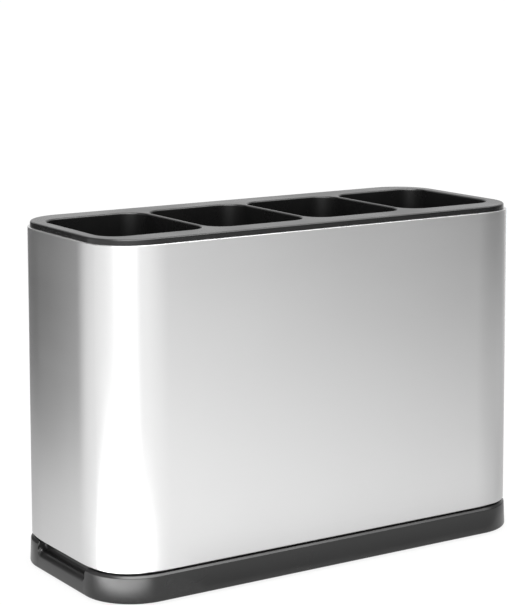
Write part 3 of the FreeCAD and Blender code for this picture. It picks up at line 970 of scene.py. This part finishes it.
@dataclass(frozen=True)
class Card:
    """A card that only reflections see, which shades or lifts bare metal as studio cards do.

    One edge runs between two points, and the other lies beside it. The tones are how bright the
    card is at its start, its end, and the corners beside its end and its start.
    """

    name: str
    start: tuple[float, float, float]
    end: tuple[float, float, float]
    way: tuple[float, float, float]
    tones: tuple[float, float, float, float]
    cuts: int = 7

    def mesh(self) -> bpy.types.Mesh:
        """The card's mesh, which carries its tones from corner to corner."""
        mesh = bmesh.new()
        tone = mesh.verts.layers.float.new("tone")
        edge = [mesh.verts.new(point) for point in (self.start, self.end)]
        far = carry(mesh, [mesh.edges.new(edge)], Vector(self.way))
        beside = sorted(far[0].verts, key=lambda v: (v.co - Vector(self.way) - edge[1].co).length)
        for point, given in zip(edge + beside, self.tones):
            point[tone] = given
        bmesh.ops.subdivide_edges(mesh, edges=mesh.edges[:], cuts=self.cuts, use_grid_fill=True)
        data = bpy.data.meshes.new(self.name)
        mesh.to_mesh(data)
        mesh.free()
        return data

    def build(self) -> None:
        """Make the card."""
        material = bpy.data.materials.new(self.name + "_paper")
        material.use_nodes = True
        tree = material.node_tree
        tree.nodes.remove(tree.nodes["Principled BSDF"])
        tone = add_node(tree, "ShaderNodeAttribute", attribute_name="tone")
        glow = add_node(tree, "ShaderNodeEmission", Strength=tone.outputs["Fac"])
        output = tree.nodes["Material Output"]
        tree.links.new(glow.outputs["Emission"], output.inputs["Surface"])
        data = self.mesh()
        data.materials.append(material)
        card = bpy.data.objects.new(self.name, data)
        card.visible_camera = False
        card.visible_diffuse = False
        card.visible_shadow = False
        bpy.context.scene.collection.objects.link(card)


@dataclass
class Studio:
    """Pale floor, soft light and the camera.

    The floor glows a little, so that it reads white. The cards are set for the main view: from
    other sides the same steel is paler.
    """

    floor_colour: str = "6c6c6c"
    floor_glow: float = 0.86
    floor_reach: float = 30.0
    floor_segments: int = 64
    camera_place: tuple[float, float, float] = (-0.46826, -0.71408, 0.26962)
    camera_yaw: float = 0.56942
    camera_pitch: float = -0.18225
    camera_roll: float = -0.00306
    focal_pixels: float = 1917.79
    sensor: float = 36.0
    softboxes: tuple[Softbox, ...] = (
        Softbox("overhead", (0.0, 0.0, 1.5), (0, 0, 0.05), 1.2, 1.2, 4.5),
        Softbox("front_left", (-0.60, -0.83, 0.37), (0, 0, 0.08), 0.9, 0.5, 3.2),
    )
    cards: tuple[Card, ...] = (
        Card(
            "rear_left_shade",
            (-0.21, 0.13, 0.0),
            (-0.21, 0.56, 0.0),
            (-0.07, 0, 0.84),
            (0.1, 0.05, 0, 0.02),
        ),
        Card(
            "left_floor_shade",
            (-0.118, -0.06, 0.001),
            (-0.118, 0.56, 0.001),
            (-0.09, 0, 0),
            (0.9, 0, 0, 1.3),
        ),
        Card(
            "front_shade",
            (0.03, -0.40, 0.0),
            (0.51, -0.31, 0.0),
            (0, 0, 0.4),
            (1.04, 0, 0, 0),
        ),
        Card(
            "front_floor_shade",
            (-0.03, -0.06, 0.001),
            (0.30, -0.06, 0.001),
            (0, -0.34, 0),
            (1.35, 0.3, 1.55, 1.35),
        ),
        Card(
            "corner_bounce",
            (-0.08, -0.08, 0.0012),
            (-0.14, -0.02, 0.0012),
            (-0.40, -0.40, 0),
            (1.35, 1.35, 0.8, 0),
        ),
        Card(
            "left_skirt",
            (-0.30, 0.23, 0.0),
            (-0.74, -0.40, 0.0),
            (0, 0, 0.9),
            (1.15, 1.25, 0.8, 0),
        ),
        Card(
            "right_shade",
            (0.51, -0.31, 0.0),
            (0.60, 0.15, 0.0),
            (0, 0, 0.4),
            (0.1, 0.5, 0.5, 0),
        ),
        Card(
            "right_floor_shade",
            (0.125, -0.06, 0.001),
            (0.50, -0.06, 0.001),
            (0, 0.3, 0),
            (0.7, 0.5, 0.7, 0.7),
        ),
        Card(
            "rear_shade",
            (-0.21, 0.56, 0.0),
            (0.0, 0.62, 0.0),
            (0, 0, 0.25),
            (0.1, 0.25, 0.25, 0),
        ),
        Card(
            "rear_floor_shade",
            (-0.118, 0.058, 0.001),
            (0.0, 0.058, 0.001),
            (0, 0.5, 0),
            (0.75, 0.75, 0.2, 0.2),
        ),
        Card(
            "edge_light",
            (-0.60, -0.62, 1.0),
            (1.00, -0.62, 1.0),
            (0, 0.62, 0),
            (13.0, 2.5, 2.5, 13.0),
        ),
        Card(
            "rear_glow",
            (-0.45, 1.00, 0.24),
            (1.10, 0.75, 0.24),
            (0, 0, 0.60),
            (1.0, 0.8, 0.8, 1.0),
        ),
        Card(
            "base_corner_bounce",
            (-0.080, -0.100, 0.0014),
            (-0.166, 0.000, 0.0014),
            (-0.032, -0.027, 0),
            (14.0, 20.0, 10.0, 5.0),
        ),
        Card(
            "base_front_shade",
            (-0.062, -0.052, 0.0016),
            (0.16, -0.052, 0.0016),
            (0, -0.06, 0),
            (0.5, 0.5, 1.5, 1.5),
        ),
    )
    sky: float = 1.03

    def build_floor(self) -> None:
        """A wide plain floor."""
        mesh = bmesh.new()
        bmesh.ops.create_circle(
            mesh, cap_ends=True, segments=self.floor_segments, radius=self.floor_reach
        )
        data = bpy.data.meshes.new("studio_floor")
        mesh.to_mesh(data)
        mesh.free()
        material = bpy.data.materials.new("studio_paper")
        material.use_nodes = True
        shader = material.node_tree.nodes["Principled BSDF"]
        shader.inputs["Base Color"].default_value = linear(self.floor_colour)
        shader.inputs["Roughness"].default_value = 1.0
        shader.inputs["Specular IOR Level"].default_value = 0.0
        shader.inputs["Emission Color"].default_value = linear("ffffff")
        shader.inputs["Emission Strength"].default_value = self.floor_glow
        data.materials.append(material)
        floor = bpy.data.objects.new("studio_floor", data)
        bpy.context.scene.collection.objects.link(floor)

    def build_camera(self) -> None:
        """The camera at its measured place, with the lens that frames the caddy."""
        data = bpy.data.cameras.new("camera")
        data.sensor_width = self.sensor
        data.lens = self.focal_pixels * self.sensor / max(IMAGE_WIDTH, IMAGE_HEIGHT)
        camera = bpy.data.objects.new("camera", data)
        turn_to = (
            Matrix.Rotation(-self.camera_yaw, 4, "Z")
            @ Matrix.Rotation(pi / 2 + self.camera_pitch, 4, "X")
            @ Matrix.Rotation(self.camera_roll, 4, "Z")
        )
        camera.matrix_world = Matrix.Translation(self.camera_place) @ turn_to
        bpy.context.scene.collection.objects.link(camera)
        bpy.context.scene.camera = camera

    def build_world(self) -> None:
        """Even soft fill from all round."""
        world = bpy.data.worlds.new("studio_world")
        world.use_nodes = True
        background = world.node_tree.nodes["Background"]
        background.inputs["Color"].default_value = linear("ffffff")
        background.inputs["Strength"].default_value = self.sky
        bpy.context.scene.world = world
        bpy.context.scene.view_settings.view_transform = "Standard"

    def build(self) -> None:
        """Set up the whole studio."""
        self.build_floor()
        self.build_camera()
        self.build_world()
        for piece in self.softboxes + self.cards:
            piece.build()


def main() -> None:
    """Load the frame, build each sub-assembly and the studio, and log each piece as it is made."""
    logging.basicConfig(level=logging.INFO, format="%(message)s")
    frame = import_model()
    OuterSleeve().build()
    CompartmentInsert().build()
    DripTrayBase().build()
    RubberFeet().dress(frame["nodes"])
    Studio().build()


if __name__ == "__main__":
    main()
